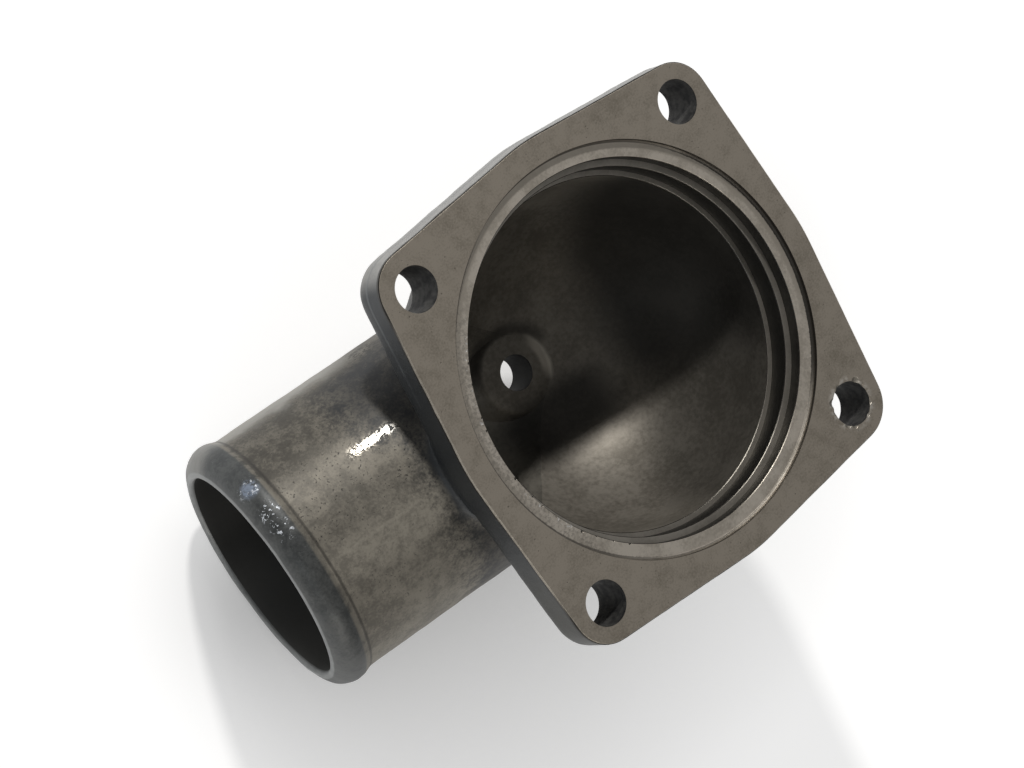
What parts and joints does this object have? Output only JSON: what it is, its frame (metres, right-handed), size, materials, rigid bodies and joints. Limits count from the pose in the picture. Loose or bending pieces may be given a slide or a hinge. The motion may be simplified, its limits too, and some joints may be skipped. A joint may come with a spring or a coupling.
{
  "type": "coolant outlet housing",
  "caption": "Cast aluminium coolant outlet housing: a square bolted flange with a stepped valve seat over a domed chamber, and a beaded hose neck leaving it sideways.",
  "frame": {"origin": "centre of the machined mating face, on the axis of the valve seat and between the bolt holes", "axes": "+Z out of the mating face, towards the engine it bolts to; the hose neck leaves towards -X and slopes away from the face"},
  "size_m": [0.0904, 0.0664, 0.0488],
  "materials": {
    "cast_aluminium": "used casting, dull grey-brown, with machined mating face and seat"
  },
  "bodies": {
    "root": {"housing": "cast_aluminium"}
  },
  "joints": []
}
